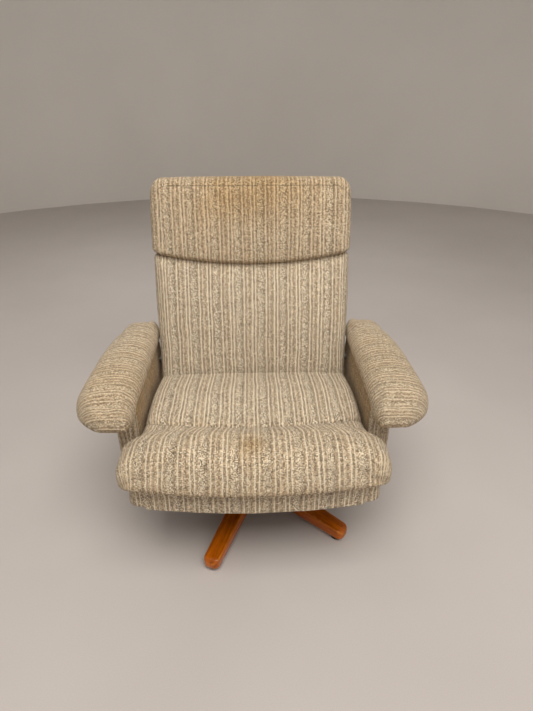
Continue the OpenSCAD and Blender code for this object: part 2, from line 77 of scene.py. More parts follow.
class Tree:
    """Short calls for building a material's node tree."""

    def __init__(self, name):
        self.material = bpy.data.materials.new(name)
        self.material.use_nodes = True
        self.tree = self.material.node_tree
        self.tree.nodes.clear()
        self.out = self.tree.nodes.new("ShaderNodeOutputMaterial")
        self.shader = self.tree.nodes.new("ShaderNodeBsdfPrincipled")
        self.link(self.shader.outputs["BSDF"], self.out.inputs["Surface"])

    def link(self, a, b):
        self.tree.links.new(a, b)

    def plug(self, socket, value):
        if isinstance(value, bpy.types.NodeSocket):
            self.link(value, socket)
        else:
            socket.default_value = value

    def set(self, **values):
        for key, value in values.items():
            self.plug(self.shader.inputs[key.replace("_", " ")], value)

    def math(self, operation, a, b=0.0, c=0.0):
        node = self.tree.nodes.new("ShaderNodeMath")
        node.operation = operation
        for socket, value in zip(node.inputs, (a, b, c)):
            self.plug(socket, value)
        return node.outputs[0]

    def add(self, a, b):
        return self.math("ADD", a, b)

    def mul(self, a, b):
        return self.math("MULTIPLY", a, b)

    def map(self, value, low, high, to_low=0.0, to_high=1.0, smooth=False):
        node = self.tree.nodes.new("ShaderNodeMapRange")
        node.interpolation_type = "SMOOTHSTEP" if smooth else "LINEAR"
        for index, item in enumerate((value, low, high, to_low, to_high)):
            self.plug(node.inputs[index], item)
        return node.outputs[0]

    def mix(self, factor, a, b, kind="MIX"):
        node = self.tree.nodes.new("ShaderNodeMix")
        node.data_type = "RGBA"
        node.blend_type = kind
        self.plug(node.inputs[0], factor)
        self.plug(node.inputs[6], a)
        self.plug(node.inputs[7], b)
        return node.outputs[2]

    def ramp(self, value, stops, interpolation="LINEAR"):
        node = self.tree.nodes.new("ShaderNodeValToRGB")
        node.color_ramp.interpolation = interpolation
        elements = node.color_ramp.elements
        while len(elements) < len(stops):
            elements.new(0.5)
        for element, (place, colour) in zip(elements, stops):
            element.position = place
            element.color = colour if len(colour) == 4 else (*colour, 1.0)
        self.plug(node.inputs[0], value)
        return node.outputs[0]

    def attribute(self, name, output="Vector"):
        node = self.tree.nodes.new("ShaderNodeAttribute")
        node.attribute_name = name
        return node.outputs[output]

    def place(self):
        return self.tree.nodes.new("ShaderNodeTexCoord").outputs["Object"]

    def split(self, vector):
        node = self.tree.nodes.new("ShaderNodeSeparateXYZ")
        self.plug(node.inputs[0], vector)
        return node.outputs

    def vector(self, x, y, z):
        node = self.tree.nodes.new("ShaderNodeCombineXYZ")
        for socket, value in zip(node.inputs, (x, y, z)):
            self.plug(socket, value)
        return node.outputs[0]

    def noise(self, vector, scale, detail=2.0, rough=0.5):
        node = self.tree.nodes.new("ShaderNodeTexNoise")
        self.plug(node.inputs["Vector"], vector)
        self.plug(node.inputs["Scale"], scale)
        self.plug(node.inputs["Detail"], detail)
        self.plug(node.inputs["Roughness"], rough)
        return node.outputs["Fac"]

    def white(self, vector):
        node = self.tree.nodes.new("ShaderNodeTexWhiteNoise")
        self.plug(node.inputs["Vector"], vector)
        return node.outputs["Value"]

    def voronoi(self, vector, scale, feature="F1"):
        node = self.tree.nodes.new("ShaderNodeTexVoronoi")
        node.feature = feature
        self.plug(node.inputs["Vector"], vector)
        self.plug(node.inputs["Scale"], scale)
        return node.outputs

    def bump(self, height, strength, distance):
        node = self.tree.nodes.new("ShaderNodeBump")
        self.plug(node.inputs["Strength"], strength)
        self.plug(node.inputs["Distance"], distance)
        self.plug(node.inputs["Height"], height)
        return node.outputs[0]


# ---------- materials ----------

REPEAT = 64.0  # width of one repeat of the stripe, in mm
YARN_WIDE, YARN_LONG = 2.35, 2.2  # one float of the yarn, in mm
TWIST = 4.6  # one turn of the twisted yarn in the raised lines, in mm
CREAM = (0.950, 0.875, 0.705)
BEIGE = (0.530, 0.430, 0.310)
TAUPE = (0.345, 0.268, 0.185)
FLECK = (0.105, 0.072, 0.044)
STAIN_AND_SHADE = (0.640, 0.480, 0.260)  # what full wear leaves of each colour, and the tint of the shade painted through the same value

# One repeat of the stripe, in mm: raised lines as (middle, half width, strength), and the ground between
LINES = [(0.0, 1.20, 1.0), (8.8, 1.20, 1.0), (40.0, 1.20, 0.95), (49.3, 0.95, 0.60)]
LOOPED = (16.0, 32.0)
GROUND = [
    (0.0, BEIGE),
    (4.4, TAUPE),
    (11.0, BEIGE),
    (14.5, TAUPE),
    (18.0, BEIGE),
    (25.0, BEIGE),
    (29.5, TAUPE),
    (34.5, TAUPE),
    (38.0, BEIGE),
    (44.5, TAUPE),
    (52.0, BEIGE),
    (56.0, TAUPE),
    (61.0, BEIGE),
]


def line_mask(tree, along, middle, half):
    """1 on a line of the repeat, 0 beside it; along is the place in the repeat, in mm."""
    near = tree.math("WRAP", along, middle + REPEAT / 2, middle - REPEAT / 2)
    offset = tree.math("ABSOLUTE", tree.math("SUBTRACT", near, middle))
    return tree.map(offset, half * 0.70, half * 1.35, 1.0, 0.0, smooth=True)


def hump(tree, value):
    """1 in the middle of each whole step of value, 0 at its ends."""
    centred = tree.math("MULTIPLY_ADD", tree.math("FRACT", value), 2.0, -1.0)
    return tree.math("SUBTRACT", 1.0, tree.mul(centred, centred))


def grey(tree, level):
    return tree.vector(level, level, level)


def cloth_coordinates(t):
    """Across, along, along with crimp (all in mm), the seed of the piece, and the vector for noises."""
    cloth = t.split(t.attribute("weave"))
    across = t.mul(cloth[0], 1000.0)
    along = t.mul(cloth[1], 1000.0)
    sheet = t.vector(across, along, t.mul(cloth[2], 9.0))
    drift = t.map(t.noise(sheet, 0.012, 1.0), 0.3, 0.7, -1.2, 1.2)
    crimp = t.map(t.noise(sheet, 0.22, 1.0), 0.3, 0.7, -0.30, 0.30)
    return t.add(across, t.add(crimp, drift)), along, t.add(along, t.mul(crimp, 1.2)), cloth[2], sheet


def stagger_masks(t, column, row, sheet):
    """Which floats lie on top and which are sunk, by fours, with the slip of a loose weave."""
    slip = t.math("FLOOR", t.mul(t.noise(sheet, 0.09, 1.0), 9.0))
    stagger = t.math("WRAP", t.add(t.add(column, slip), t.mul(row, 2.0)), 4.0, 0.0)
    return t.math("COMPARE", stagger, 0.0, 0.5), t.math("COMPARE", stagger, 1.0, 0.5)


def looped_band(t, place):
    """1 on the band of loops in each repeat."""
    starts = t.map(place, LOOPED[0] - 0.6, LOOPED[0] + 0.6)
    return t.mul(starts, t.map(place, LOOPED[1] - 0.6, LOOPED[1] + 0.6, 1.0, 0.0))


def raised_lines(t, place, wear_and_shade_level):
    """The smooth pale lines of the repeat, flattened where the cloth is worn and where shade is painted
    through the same value.
    """
    lines = 0.0
    for middle, half, strength in LINES:
        lines = t.add(lines, t.mul(line_mask(t, place, middle, half), strength))
    return t.mul(lines, t.map(wear_and_shade_level, 0.0, 0.35, 1.0, 0.72))


def soil_and_painted_shade(t, colour, wear_and_shade_level):
    """Yellowing, dull patches, painted shade where the wear-and-shade value holds shade, and painted shade
    darkening the cloth near each seam.
    """
    blotch = t.noise(t.place(), 5.0, 3.0, 0.55)
    # yellowing and darkening towards the stain tint: real wear, and painted shade where the value carries it
    # (inner arm panels, lower front of the seat roll)
    yellow_darkening = t.mul(wear_and_shade_level, t.map(blotch, 0.25, 0.75, 0.65, 1.15))
    colour = t.mix(yellow_darkening, colour, t.mix(1.0, colour, (*STAIN_AND_SHADE, 1.0), "MULTIPLY"))
    colour = t.mix(1.0, colour, grey(t, t.map(blotch, 0.3, 0.7, 0.95, 1.04)), "MULTIPLY")
    # painted shade: the colour is darkened near each seam, down to 0.22 at the seam itself
    seam = t.attribute("seam", "Fac")
    shade = t.map(seam, 0.0006, 0.0042, 0.22, 1.0, smooth=True)
    return t.mix(1.0, colour, grey(t, shade), "MULTIPLY")


def weave_material(name):
    """Coarse striped wool: cloth coordinates come from the weave attribute, in metres."""
    t = Tree(name)
    wear_and_shade_level = t.attribute("wear_and_shade", "Fac")
    u, v, v_crimped, seed, sheet = cloth_coordinates(t)
    place = t.math("WRAP", u, REPEAT, 0.0)
    stops = [(middle / REPEAT, colour) for middle, colour in GROUND]
    colour = t.ramp(t.math("DIVIDE", place, REPEAT), stops + [(1.0, GROUND[0][1])])

    # single floats of yarn: each end has its own shade, each float another, light and dark by turns
    columns = t.math("DIVIDE", u, YARN_WIDE)
    column = t.math("FLOOR", columns)
    rows = t.math("DIVIDE", v_crimped, YARN_LONG)
    row = t.math("FLOOR", rows)
    float_height = t.mul(hump(t, columns), hump(t, rows))
    chance = t.white(t.vector(column, row, seed))
    end_chance = t.white(t.vector(column, seed, 3.0))
    fuzz = t.noise(sheet, 1.3, 2.0, 0.7)
    shade = t.mul(t.map(chance, 0.0, 1.0, 0.36, 1.66), t.map(end_chance, 0.0, 1.0, 0.95, 1.05))
    shade = t.mul(shade, t.map(fuzz, 0.25, 0.75, 0.84, 1.16))
    raised, sunk = stagger_masks(t, column, row, sheet)
    # painted light and shade of the weave's relief: raised floats lightened by 28 %, sunk floats darkened by
    # as much
    shade = t.mul(shade, t.math("MULTIPLY_ADD", t.math("SUBTRACT", raised, sunk), 0.28, 1.0))
    colour = t.mix(1.0, colour, grey(t, shade), "MULTIPLY")

    # looped band: staggered pale loops, with painted shade, dark as the flecks, in the sunk gaps between some
    # of them
    looped = looped_band(t, place)
    pale = t.mul(t.mul(looped, raised), t.map(chance, 0.05, 0.35, 0.2, 1.0))
    colour = t.mix(pale, colour, (*CREAM, 1.0))
    gap = t.mul(t.mul(looped, sunk), t.map(chance, 0.90, 0.50))
    colour = t.mix(t.mul(gap, 0.85), colour, (*FLECK, 1.0))

    # dark flecks and pale slubs anywhere
    colour = t.mix(t.map(chance, 0.940, 0.955, 0.0, 0.85), colour, (*FLECK, 1.0))
    colour = t.mix(t.map(chance, 0.070, 0.055, 0.0, 0.85), colour, (*CREAM, 1.0))

    # raised smooth lines of twisted yarn
    twist = t.map(t.math("SINE", t.mul(v, 2 * math.pi / TWIST)), -1.0, 1.0, 0.80, 1.06)
    lines = raised_lines(t, place, wear_and_shade_level)
    rubbed = t.mul(t.map(fuzz, 0.30, 0.55, 0.55, 1.0), t.map(chance, 0.0, 0.4, 0.60, 1.0))
    line_colour = t.mix(1.0, (*CREAM, 1.0), grey(t, twist), "MULTIPLY")
    colour = t.mix(t.mul(lines, rubbed), colour, line_colour)
    colour = soil_and_painted_shade(t, colour, wear_and_shade_level)

    height = t.add(t.mul(float_height, 0.6), t.add(t.mul(lines, 0.7), t.mul(pale, 0.5)))
    normal = t.bump(t.add(height, t.mul(fuzz, 0.3)), 0.7, 0.0009)
    t.set(Base_Color=colour, Roughness=0.93, Normal=normal)
    t.set(Specular_IOR_Level=0.12, Sheen_Weight=0.15, Sheen_Roughness=0.6)
    t.shader.inputs["Sheen Tint"].default_value = (1.0, 0.93, 0.82, 1.0)
    return t.material


LEG_TONES = [
    (0.25, (0.200, 0.036, 0.0010)),
    (0.48, (0.390, 0.085, 0.0014)),
    (0.62, (0.500, 0.120, 0.0020)),
    (0.80, (0.600, 0.165, 0.0030)),
]
LAMINATION = 0.0145  # width of one strip of the laminated legs


def leg_wood():
    """Gloss-lacquered, reddish hardwood; the grain attribute runs along each leg."""
    t = Tree("leg_wood")
    g = t.split(t.attribute("grain"))
    along, across, up = g[0], g[1], g[2]
    lamination = t.math("FLOOR", t.math("DIVIDE", t.add(across, 1.0), LAMINATION))
    sideways = t.add(t.mul(across, 26.0), t.mul(lamination, 3.7))
    shifted = t.vector(t.mul(along, 2.2), sideways, t.mul(up, 26.0))
    figure = t.noise(shifted, 2.4, 6.0, 0.62)
    fine = t.noise(t.vector(t.mul(along, 9.0), t.mul(across, 420.0), t.mul(up, 420.0)), 1.0, 3.0, 0.6)
    colour = t.ramp(figure, LEG_TONES)
    fibre = t.map(fine, 0.35, 0.7, 0.84, 1.08)
    colour = t.mix(1.0, colour, grey(t, fibre), "MULTIPLY")
    strip = t.map(t.noise(t.vector(lamination, 0.0, 0.0), 5.3, 0.0), 0.3, 0.7, 0.86, 1.12)
    colour = t.mix(1.0, colour, grey(t, strip), "MULTIPLY")
    edge = t.attribute("edge", "Fac")
    worn = t.mul(edge, t.map(t.noise(t.place(), 60.0, 3.0), 0.4, 0.65, 0.15, 0.7))
    colour = t.mix(worn, colour, (0.620, 0.200, 0.012, 1.0))
    t.set(Base_Color=colour, Roughness=t.map(fine, 0.3, 0.7, 0.24, 0.36))
    t.set(Normal=t.bump(fine, 0.10, 0.0004))
    t.set(Coat_Weight=0.30, Coat_Roughness=0.10, Specular_IOR_Level=0.25)
    return t.material


def raw_wood():
    t = Tree("frame_beech")
    p = t.split(t.place())
    stretched = t.vector(t.mul(p[0], 5.0), t.mul(p[1], 30.0), t.mul(p[2], 30.0))
    figure = t.noise(stretched, 3.0, 6.0, 0.6)
    rays = t.voronoi(t.vector(t.mul(p[0], 60.0), t.mul(p[1], 220.0), t.mul(p[2], 220.0)), 1.0)[0]
    colour = t.ramp(figure, [(0.3, (0.42, 0.27, 0.14)), (0.6, (0.56, 0.39, 0.22)), (0.8, (0.64, 0.47, 0.29))])
    ray = t.map(rays, 0.0, 0.35, 0.82, 1.0)
    colour = t.mix(1.0, colour, grey(t, ray), "MULTIPLY")
    t.set(Base_Color=colour, Roughness=0.72, Normal=t.bump(figure, 0.15, 0.0006))
    return t.material


def metal(name, dark, light, rough, scale, metallic=1.0):
    """Metal with a blotchy plated or painted surface and faint handling marks."""
    t = Tree(name)
    cloud = t.noise(t.place(), scale, 5.0, 0.6)
    marks = t.noise(t.place(), scale * 9.0, 3.0, 0.7)
    t.set(Base_Color=t.ramp(cloud, [(0.3, dark), (0.7, light)]), Metallic=metallic)
    t.set(Roughness=t.map(marks, 0.3, 0.7, *rough))
    t.set(Normal=t.bump(marks, 0.12, 0.0003))
    return t.material


def plastic(name, dark, light, rough, scale):
    """Moulded plastic or pressed fibre with a fine grain."""
    t = Tree(name)
    grain = t.noise(t.place(), scale, 4.0, 0.6)
    t.set(Base_Color=t.ramp(grain, [(0.3, dark), (0.7, light)]), Roughness=rough)
    t.set(Normal=t.bump(grain, 0.25, 0.0003))
    return t.material


def plain_cloth(name, dark, light, pitch):
    """Thin woven or spun cloth in object space."""
    t = Tree(name)
    p = t.split(t.place())
    turn = 2 * math.pi / pitch
    threads = t.mul(t.math("SINE", t.mul(p[0], turn)), t.math("SINE", t.mul(t.add(p[1], p[2]), turn)))
    fuzz = t.noise(t.place(), 900.0, 2.0)
    level = t.add(t.map(threads, -1.0, 1.0, 0.0, 0.6), t.mul(fuzz, 0.5))
    t.set(Base_Color=t.ramp(level, [(0.2, dark), (0.9, light)]), Roughness=0.95)
    t.set(Normal=t.bump(level, 0.5, 0.0005), Specular_IOR_Level=0.2)
    return t.material


def make_materials():
    for plain in list(bpy.data.materials):
        bpy.data.materials.remove(plain)
    made = [
        weave_material("striped_weave"),
        leg_wood(),
        raw_wood(),
        metal("black_steel", (0.010, 0.010, 0.011), (0.028, 0.027, 0.026), (0.34, 0.55), 14.0, 0.0),
        metal("zinc_steel", (0.20, 0.19, 0.16), (0.34, 0.33, 0.30), (0.34, 0.52), 22.0),
        metal("spring_steel", (0.10, 0.10, 0.11), (0.24, 0.24, 0.25), (0.30, 0.50), 30.0),
        plastic("nylon", (0.68, 0.67, 0.62), (0.78, 0.77, 0.72), 0.48, 240.0),
        plastic("glide_plastic", (0.012,) * 3, (0.028,) * 3, 0.55, 300.0),
        plastic("friction_fibre", (0.05, 0.035, 0.025), (0.12, 0.09, 0.06), 0.85, 500.0),
        plain_cloth("dust_cloth", (0.008, 0.008, 0.009), (0.030, 0.030, 0.032), 0.0022),
        plain_cloth("elastic_web", (0.012, 0.011, 0.011), (0.060, 0.055, 0.050), 0.0030),
    ]
    return {material.name: material for material in made}


def dress_cad_nodes(materials):
    """Gives every CAD node the material of its record slot."""
    slots = {row["node"]: row["material_slot"] for row in frame["record"]["subparts"]}
    for name, obj in nodes.items():
        obj.data.materials.clear()
        obj.data.materials.append(materials[slots[name]])
        for face in obj.data.polygons:
            face.material_index = 0


# ---------- mesh helpers ----------


def mesh_object(name, points, faces):
    mesh = bpy.data.meshes.new(name)
    mesh.from_pydata([tuple(map(float, p)) for p in points], [], faces)
    mesh.update()
    obj = bpy.data.objects.new(name, mesh)
    bpy.context.scene.collection.objects.link(obj)
    return obj


def vertex_vectors(obj, key):
    flat = np.empty(len(obj.data.vertices) * 3, dtype=np.float32)
    obj.data.vertices.foreach_get(key, flat)
    return flat.reshape(-1, 3).astype(float)


def points_of(obj):
    return vertex_vectors(obj, "co")


def normals_of(obj):
    return vertex_vectors(obj, "normal")


def put_points(obj, points):
    obj.data.vertices.foreach_set("co", np.ascontiguousarray(points, dtype=np.float32).ravel())
    obj.data.update()


def smoothstep(value, low, high):
    share = np.clip((value - low) / (high - low), 0.0, 1.0)
    return share * share * (3.0 - 2.0 * share)


def quarter_round(share):
    """Drop of a quarter circle at this share of its width: 0 at its crown, 1 at its edge."""
    return 1.0 - np.sqrt(1.0 - share**2)


def tube_faces(rings, count):
    """Faces of a closed tube with this many rings of count points, and its two flat ends."""
    faces = []
    for i in range(rings - 1):
        for j in range(count):
            k = (j + 1) % count
            faces.append((i * count + j, i * count + k, (i + 1) * count + k, (i + 1) * count + j))
    faces.append(tuple(range(count))[::-1])
    faces.append(tuple((rings - 1) * count + j for j in range(count)))
    return faces


COVER_SPACING = 0.0055  # size of a face of the seat and back covers before it is subdivided


def block(name, low, high, radii, spacing, radii_high=None):
    """Closed box of even quads, rounded with one radius for each axis, or one for each end of it."""
    low, high, radii = np.array(low), np.array(high), np.array(radii)
    radii_high = radii if radii_high is None else np.array(radii_high)
    counts = np.maximum(4, np.round((high - low) / spacing)).astype(int)
    index = {}
    faces = []

    def corner(key):
        return index.setdefault(tuple(key), len(index))

    for axis in range(3):
        a, b = (axis + 1) % 3, (axis + 2) % 3
        for side in (0, counts[axis]):
            for i in range(counts[a]):
                for j in range(counts[b]):
                    quad = []
                    for step_a, step_b in ((0, 0), (1, 0), (1, 1), (0, 1)):
                        key = [0, 0, 0]
                        key[axis], key[a], key[b] = side, i + step_a, j + step_b
                        quad.append(corner(key))
                    faces.append(quad if side else quad[::-1])
    flat = low + np.array(list(index)) / counts * (high - low)
    inner = np.clip(flat, low + radii, high - radii_high)
    reach = np.where(flat < inner, radii, radii_high)
    lean = (flat - inner) / reach
    points = inner + lean / np.linalg.norm(lean, axis=1)[:, None] * reach
    return mesh_object(name, points, faces)


def bake_modifiers(obj):
    """Replaces the mesh by what its modifiers make of it."""
    graph = bpy.context.evaluated_depsgraph_get()
    finished = bpy.data.meshes.new_from_object(obj.evaluated_get(graph))
    old = obj.data
    obj.modifiers.clear()
    obj.data = finished
    bpy.data.meshes.remove(old)


def subdivide(obj):
    modifier = obj.modifiers.new("finer", "SUBSURF")
    modifier.levels = 1
    bake_modifiers(obj)


FRAMES = 20  # length of each cloth simulation


def inflate(obj, held, pressure, most):
    """Cloth simulation under pressure. held(points) is 1 where the cover is fixed; most caps each move."""
    start = points_of(obj)
    group = obj.vertex_groups.new(name="held")
    weights = np.clip(held(start), 0.0, 1.0)
    for index in np.nonzero(weights > 0.01)[0]:
        group.add([int(index)], float(weights[index]), "REPLACE")
    cloth = obj.modifiers.new("cloth", "CLOTH")
    settings = cloth.settings
    settings.quality = 4
    settings.vertex_group_mass = "held"
    settings.use_pressure = True
    settings.uniform_pressure_force = pressure
    settings.tension_stiffness = 18.0
    settings.compression_stiffness = 18.0
    settings.bending_stiffness = 0.8
    settings.effector_weights.gravity = 0.0
    cloth.collision_settings.use_collision = False
    cloth.point_cache.frame_start = 1
    cloth.point_cache.frame_end = FRAMES
    scene = bpy.context.scene
    for frame_number in range(1, FRAMES + 1):
        scene.frame_set(frame_number)
    bake_modifiers(obj)
    scene.frame_set(1)
    step = points_of(obj) - start
    length = np.maximum(np.linalg.norm(step, axis=1), 1e-9)
    put_points(obj, start + step * np.minimum(1.0, most / length)[:, None])
    obj.vertex_groups.clear()


def press_in(obj, distance, depth, width, where=1.0):
    """Sinks a seam into the surface: distance is how far each vertex is from the seam."""
    push = depth * np.exp(-((distance / width) ** 2)) * where
    put_points(obj, points_of(obj) - normals_of(obj) * push[:, None])


def ripple(places, waves):
    """Uneven ripple from a few sines; waves are (wave length, phase, height)."""
    total = np.zeros_like(places)
    for length, phase, height in waves:
        total += height * np.sin(2 * np.pi * places / length + phase)
    return total


def store(obj, name, values):
    """Stores a number or a vector on each vertex."""
    values = np.ascontiguousarray(values, dtype=np.float32)
    kind, field = ("FLOAT_VECTOR", "vector") if values.ndim == 2 else ("FLOAT", "value")
    obj.data.attributes.new(name, kind, "POINT").data.foreach_set(field, values.ravel())


def lay_cloth(obj, across, along, seam, wear_and_shade, seed):
    """Stores the cloth coordinates, the distance to the nearest seam (which sets the painted seam shade), and
    the value for real wear and painted shade on each vertex.
    """
    count = len(obj.data.vertices)
    across = np.broadcast_to(across, count)
    along = np.broadcast_to(along, count)
    store(obj, "weave", np.stack([across, along, np.full(count, seed)], 1))
    store(obj, "seam", np.broadcast_to(seam, count))
    store(obj, "wear_and_shade", np.broadcast_to(wear_and_shade, count))


def finish_piece(obj, material, body, replaced=()):
    obj.data.materials.clear()
    obj.data.materials.append(material)
    obj.data.shade_smooth()
    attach(obj, body)
    if replaced:
        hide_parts(*replaced)


# ---------- seat ----------

_, SEAT_FRONT, SEAT_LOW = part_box("seat_cushion")[0]
ROLL_HALF, SEAT_REAR, SEAT_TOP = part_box("seat_cushion")[1]
SEAT_START = SEAT_TOP - 0.006  # height of the seat before it is inflated
SEAT_HALF = 0.2845  # half width between the arms
NECK_Y = -0.195  # where the seat widens in front of the arms
APRON_NECK = 0.272  # half width of the apron between the arms
APRON_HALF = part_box("seat_apron")[1][0]
FRONT_BOW = 1.7  # radius of the bowed front edge
STAIN_AT = (-0.004, -0.283)  # the stain on the front roll


def seat_half_width(y):
    """Half width of the seat: narrow between the arms, wide ahead of them."""
    flare = smoothstep(-y, -NECK_Y - 0.014, -NECK_Y + 0.050)
    rear = 0.008 * smoothstep(y, -0.04, 0.09)
    return SEAT_HALF - rear + (ROLL_HALF + 0.002 - SEAT_HALF) * flare


def seat_seam_y(x):
    return -0.179 + 0.038 * (x / 0.29) ** 2


def seat_shape(points):
    """Bends the plain block into the T-shaped, two-part cushion."""
    x, y, z = points.T
    share = x / SEAT_HALF
    bow = (share * ROLL_HALF) ** 2 / (2 * FRONT_BOW)
    y = y + bow * smoothstep(-y, 0.10, 0.36)
    x = share * seat_half_width(y)
    height = smoothstep(z, SEAT_LOW + 0.010, SEAT_TOP - 0.030)
    rear_drop = 0.004 * smoothstep(y, -0.02, 0.09)
    seam_drop = 0.008 * np.exp(-(((y - seat_seam_y(x)) / 0.035) ** 2))
    side_drop = 0.008 * np.abs(share) ** 4
    z = z - height * (rear_drop + seam_drop + side_drop)
    past_side = smoothstep(np.abs(x), APRON_HALF + 0.001, APRON_HALF + 0.012)
    past_apron = np.maximum(smoothstep(-y, 0.31, 0.35), past_side)
    hang = past_apron * (1.0 - smoothstep(z, SEAT_LOW, SEAT_LOW + 0.040))
    z = z - 0.009 * hang
    foot = 1.0 - smoothstep(z, SEAT_LOW - 0.009, SEAT_LOW + 0.030)
    x = x * (1.0 - 0.022 * foot * smoothstep(-y, 0.22, 0.30))
    return np.stack([x, y, z], 1)


def seat_held(points):
    """The cushion is fixed along its underside, its rear edge and the seam across it."""
    x, y, z = points.T
    base = smoothstep(-z, -(SEAT_LOW + 0.016), -(SEAT_LOW + 0.006))
    seam = np.exp(-(((y - seat_seam_y(x)) / 0.006) ** 2)) * (z > SEAT_LOW + 0.03)
    rear = smoothstep(y, SEAT_REAR - 0.016, SEAT_REAR - 0.006)
    between_arms = 0.6 * smoothstep(np.abs(x), SEAT_HALF - 0.022, SEAT_HALF - 0.010) * (y > NECK_Y)
    return np.maximum.reduce([base, seam, rear, between_arms])


def make_seat(materials):
    low = (-SEAT_HALF, SEAT_FRONT + 0.004, SEAT_LOW)
    high = (SEAT_HALF, SEAT_REAR + 0.004, SEAT_START)
    radii, radii_high = (0.020, 0.036, 0.018), (0.020, 0.022, 0.034)
    seat = block("seat_cushion_cover", low, high, radii, COVER_SPACING, radii_high)
    put_points(seat, seat_shape(points_of(seat)))
    inflate(seat, seat_held, 4.0, 0.018)
    subdivide(seat)
    x, y, z = points_of(seat).T
    away = np.abs(y - seat_seam_y(x))
    upper = smoothstep(z, SEAT_LOW + 0.010, SEAT_LOW + 0.035)
    puckers = ripple(x, [(0.047, 0.4, 0.5), (0.031, 1.9, 0.35), (0.083, 3.0, 0.4)])
    lift = 0.0022 * puckers * np.exp(-away / 0.016) * upper
    put_points(seat, points_of(seat) + normals_of(seat) * lift[:, None])
    press_in(seat, away, 0.0100, 0.0055, upper)
    x, y, z = points_of(seat).T
    half = seat_half_width(y)
    depth = np.clip(SEAT_START - z, 0.0, None)
    front_y = SEAT_FRONT + x**2 / (2 * FRONT_BOW)
    beside = smoothstep(np.abs(x), half - 0.045, half - 0.002)
    across = x * SEAT_HALF / half + np.sign(x) * depth * beside
    along = -y + depth * smoothstep(-y, -front_y - 0.060, -front_y - 0.004)
    front_edge = np.abs(z - (SEAT_LOW + 0.004)) + 0.004
    seam = np.minimum(np.where(upper > 0.2, np.abs(y - seat_seam_y(x)), 1.0), front_edge)
    yellow_darkening = 0.50 * np.exp(-(((x - STAIN_AT[0]) / 0.032) ** 2) - (((y - STAIN_AT[1]) / 0.028) ** 2))
    # painted shade on the lower front of the roll, where it turns down away from the light, together with
    # some real yellowing there
    low_front_shade_and_soil = smoothstep(-y, 0.25, 0.33) * smoothstep(SEAT_TOP - z, 0.040, 0.100)
    wear_and_shade_level = 0.10 + 0.14 * smoothstep(-y, 0.10, 0.24) + 0.34 * low_front_shade_and_soil + yellow_darkening
    lay_cloth(seat, across, along, seam, wear_and_shade_level, 1.0)
    finish_piece(seat, materials["striped_weave"], "seat", ["seat_cushion"])


def rounded_path(corners, radii, step=0.007):
    """Plan path through the corners, each rounded with its own radius."""
    points = [np.array(corners[0])]
    for index in range(1, len(corners) - 1):
        before, here, after = (np.array(corners[index + shift]) for shift in (-1, 0, 1))
        back, ahead = before - here, after - here
        back, ahead = back / np.linalg.norm(back), ahead / np.linalg.norm(ahead)
        start, end = here + back * radii[index - 1], here + ahead * radii[index - 1]
        for share in np.linspace(0.0, 1.0, 9):
            points.append((1 - share) ** 2 * start + 2 * share * (1 - share) * here + share**2 * end)
    points.append(np.array(corners[-1]))
    dense = [points[0]]
    for a, b in zip(points, points[1:]):
        count = max(1, round(float(np.linalg.norm(b - a)) / step))
        dense += [a + (b - a) * share for share in np.linspace(0, 1, count + 1)[1:]]
    return np.array(dense)


def band_path(half, reach, radius, neck_half, rear):
    """Plan path of the apron: down one side between the arms, round the wide bowed front, and back."""
    corner_y = -reach + half**2 / (2 * FRONT_BOW)
    left = [(-neck_half, rear), (-neck_half, NECK_Y - 0.006), (-half, NECK_Y - 0.006), (-half, corner_y)]
    right = [(-x, y) for x, y in reversed(left)]
    path = rounded_path(left + right, [0.014, 0.020, radius, radius, 0.020, 0.014])
    front = np.abs(path[:, 0]) < half - radius
    ahead = path[:, 1] < NECK_Y - 0.05
    path[:, 1] = np.where(front & ahead, -reach + path[:, 0] ** 2 / (2 * FRONT_BOW), path[:, 1])
    return path


def sweep(name, path, section):
    """Closed solid along a plan path. section is (outward, height) round one loop."""
    step = np.gradient(path, axis=0)
    step /= np.linalg.norm(step, axis=1)[:, None]
    outward = np.stack([step[:, 1], -step[:, 0]], 1)
    points = []
    for place, side in zip(path, outward):
        for out, height in section:
            points.append((place[0] + side[0] * out, place[1] + side[1] * out, height))
    return mesh_object(name, points, tube_faces(len(path), len(section)))


def make_apron(materials):
    low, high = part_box("seat_apron")
    half, reach = high[0], -low[1]
    bottom, top = low[2], high[2]
    path = band_path(half, reach, 0.042, APRON_NECK, high[1])
    turns = np.linspace(0.0, 2 * np.pi, 44, endpoint=False)
    middle, tall = (bottom + top) / 2, (top - bottom) / 2
    section = []
    for turn in turns:
        across = -0.006 + 0.007 * np.sign(math.cos(turn)) * abs(math.cos(turn)) ** 0.35
        up = middle + tall * np.sign(math.sin(turn)) * abs(math.sin(turn)) ** 0.45
        section.append((across, up))
    apron = sweep("seat_apron_cover", path, section)
    points, normals = points_of(apron), normals_of(apron)
    x, y, z = points.T
    waves = ripple(x + 1.3 * y, [(0.21, 0.3, 0.5), (0.12, 2.0, 0.35), (0.067, 1.1, 0.15)])
    bulge = 0.0045 * np.sin(np.pi * np.clip((z - bottom) / (top - bottom), 0, 1))
    put_points(apron, points + normals * (bulge + 0.0010 * waves)[:, None] * np.array([1.0, 1.0, 0.3]))
    points, normals = points_of(apron), normals_of(apron)
    x, y, z = points.T
    side = np.abs(normals[:, 0]) > 0.7
    corner = -reach + 0.065
    across = np.where(side, x + np.sign(x) * (y - corner), x)
    seam = np.minimum(np.abs(z - bottom), np.abs(top - z)) + 0.001
    lay_cloth(apron, across * 0.9, z, seam, 0.12, 2.0)
    finish_piece(apron, materials["striped_weave"], "seat", ["seat_apron"])


# ---------- back ----------

